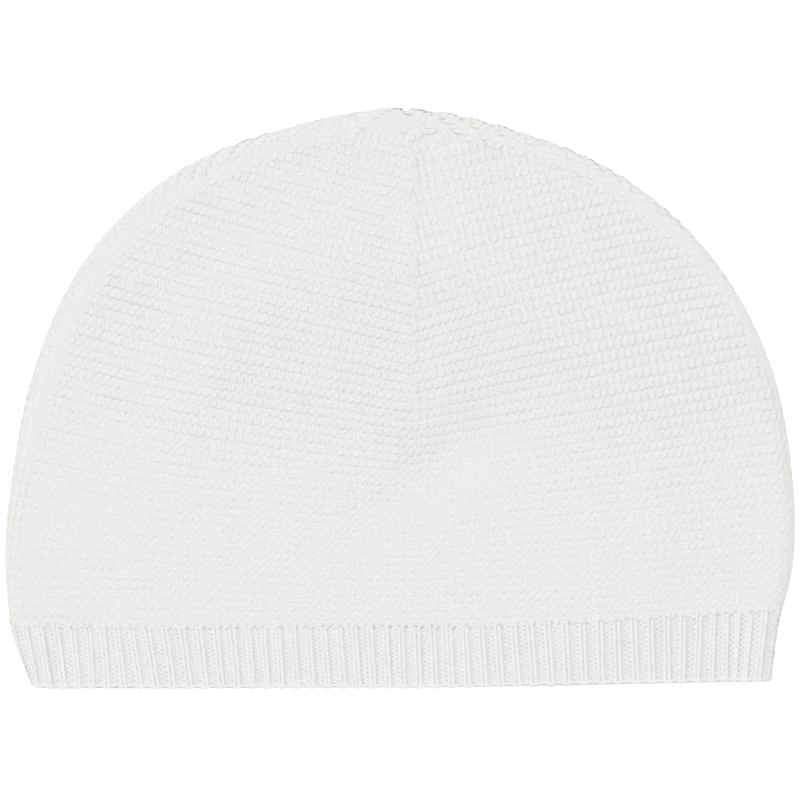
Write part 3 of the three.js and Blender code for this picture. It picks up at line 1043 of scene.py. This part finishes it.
def rib_strands(name, ribs, steps, points, section):
    strands = TubeMesh(name)
    purl_zigzag(strands, ribs, steps, section)
    knit_wale(strands, ribs, points, section)
    strands.build(rib_cotton, "rib_knit")


rib_strands("band_front_ribs", FRONT_RIBS, steps=8, points=5, section=SUNK)
rib_strands("band_back_ribs", BACK_RIBS, steps=6, points=4, section=COARSE)


def band_loops():
    """Loops round the band's ground, which lies deeper along the valleys between the ribs."""
    count = GROUND_PER_RIB * RIBS_AROUND
    ribs = 1 + RIBS_AROUND * np.arange(count) / count
    valley = VALLEY_DEPTH * soft_line((ribs - VALLEY_MIDDLE + 0.5) % 1 - 0.5, VALLEY_HALF_WIDTH)
    loops = []
    for share in np.linspace(0, 1, BAND_LOOPS):
        places, normals = band.at(ribs, np.full(count, share))
        depth = valley * smoothstep(share, *VALLEY_START) * (1 - smoothstep(share, *VALLEY_END))
        loops.append((places - normals * depth[:, None], normals))
    return loops


band_ground = wall_mesh(
    "band_ground", band_loops(), BAND_GROUND_DEPTH, BAND_WALL, ground_cotton_painted_shade, False
)
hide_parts("rib_band")


def cast_off(mesh):
    """The cast-off edge: soft cords along the rim that swell a little under each wale."""
    rib = 1 + np.arange(EDGE_STEPS * RIBS_AROUND + 1) / EDGE_STEPS
    swell = np.cos(2 * np.pi * (rib - WALE_MIDDLE))
    closing = np.linspace(0, 1, EDGE_STEPS)  # brings the end back to where the cord starts
    for depth, share, radius in EDGE_CORDS:
        wander = EDGE_NOISE * smooth_noise(len(rib), EDGE_NOISE_STEPS)
        wander[-EDGE_STEPS:] = lerp(wander[-EDGE_STEPS:], wander[0], closing)
        places, normals = band.at(rib, share - EDGE_SAG * swell + wander)
        line, radii = places - normals * depth, radius * (1 + EDGE_SWELL * swell)
        mesh.add(line[None], normals[None], radii[None], ROUND)


edge = TubeMesh("cast_off_edge")
cast_off(edge)
edge.build(rib_cotton, "rib_knit")

# The surface that the hat lies on, the light and the camera.
floor_mesh = bpy.data.meshes.new("floor")
square = ((-1, -1), (1, -1), (1, 1), (-1, 1))
floor_corners = [(x * PAPER_HALF_WIDTH, y * PAPER_HALF_WIDTH, 0) for x, y in square]
floor_mesh.from_pydata(floor_corners, [], [(0, 1, 2, 3)])
floor = bpy.data.objects.new("floor", floor_mesh)
floor_mesh.materials.append(uncoated_paper("Matt_white_paper", linear("#f8f8f8")))
bpy.context.scene.collection.objects.link(floor)

world = bpy.data.worlds.new("soft_daylight")
world.use_nodes = True
sky = world.node_tree.nodes["Background"].inputs
sky["Color"].default_value = (1.0, 1.0, 1.0, 1.0)
sky["Strength"].default_value = 0.43
bpy.context.scene.world = world


def add_sun(name, azimuth, elevation, strength, spread):
    """A soft, distant light. spread is how wide it looks from the hat, in degrees as the rest."""
    light = bpy.data.lights.new(name, "SUN")
    light.energy = strength
    light.angle = math.radians(spread)
    lamp = bpy.data.objects.new(name, light)
    a, e = math.radians(azimuth), math.radians(elevation)
    towards = Vector((math.cos(a) * math.cos(e), math.sin(a) * math.cos(e), math.sin(e)))
    lamp.rotation_mode = "QUATERNION"
    lamp.rotation_quaternion = towards.to_track_quat("Z", "Y")
    bpy.context.scene.collection.objects.link(lamp)


add_sun("window", azimuth=125, elevation=50, strength=0.20, spread=40)
add_sun("ceiling", azimuth=140, elevation=86, strength=1.45, spread=75)

camera_data = bpy.data.cameras.new("camera")
camera_data.lens = LENS
camera_data.sensor_width = SENSOR
camera_data.clip_start, camera_data.clip_end = NEAR_AND_FAR
camera = bpy.data.objects.new("camera", camera_data)
distance = PHOTO_WIDTH * LENS / SENSOR
camera.location = (PHOTO_CENTRE[0] * MM, PHOTO_CENTRE[1] * MM, (SILHOUETTE_HEIGHT + distance) * MM)
bpy.context.scene.collection.objects.link(camera)
bpy.context.scene.camera = camera
bpy.context.scene.view_settings.view_transform = "Standard"
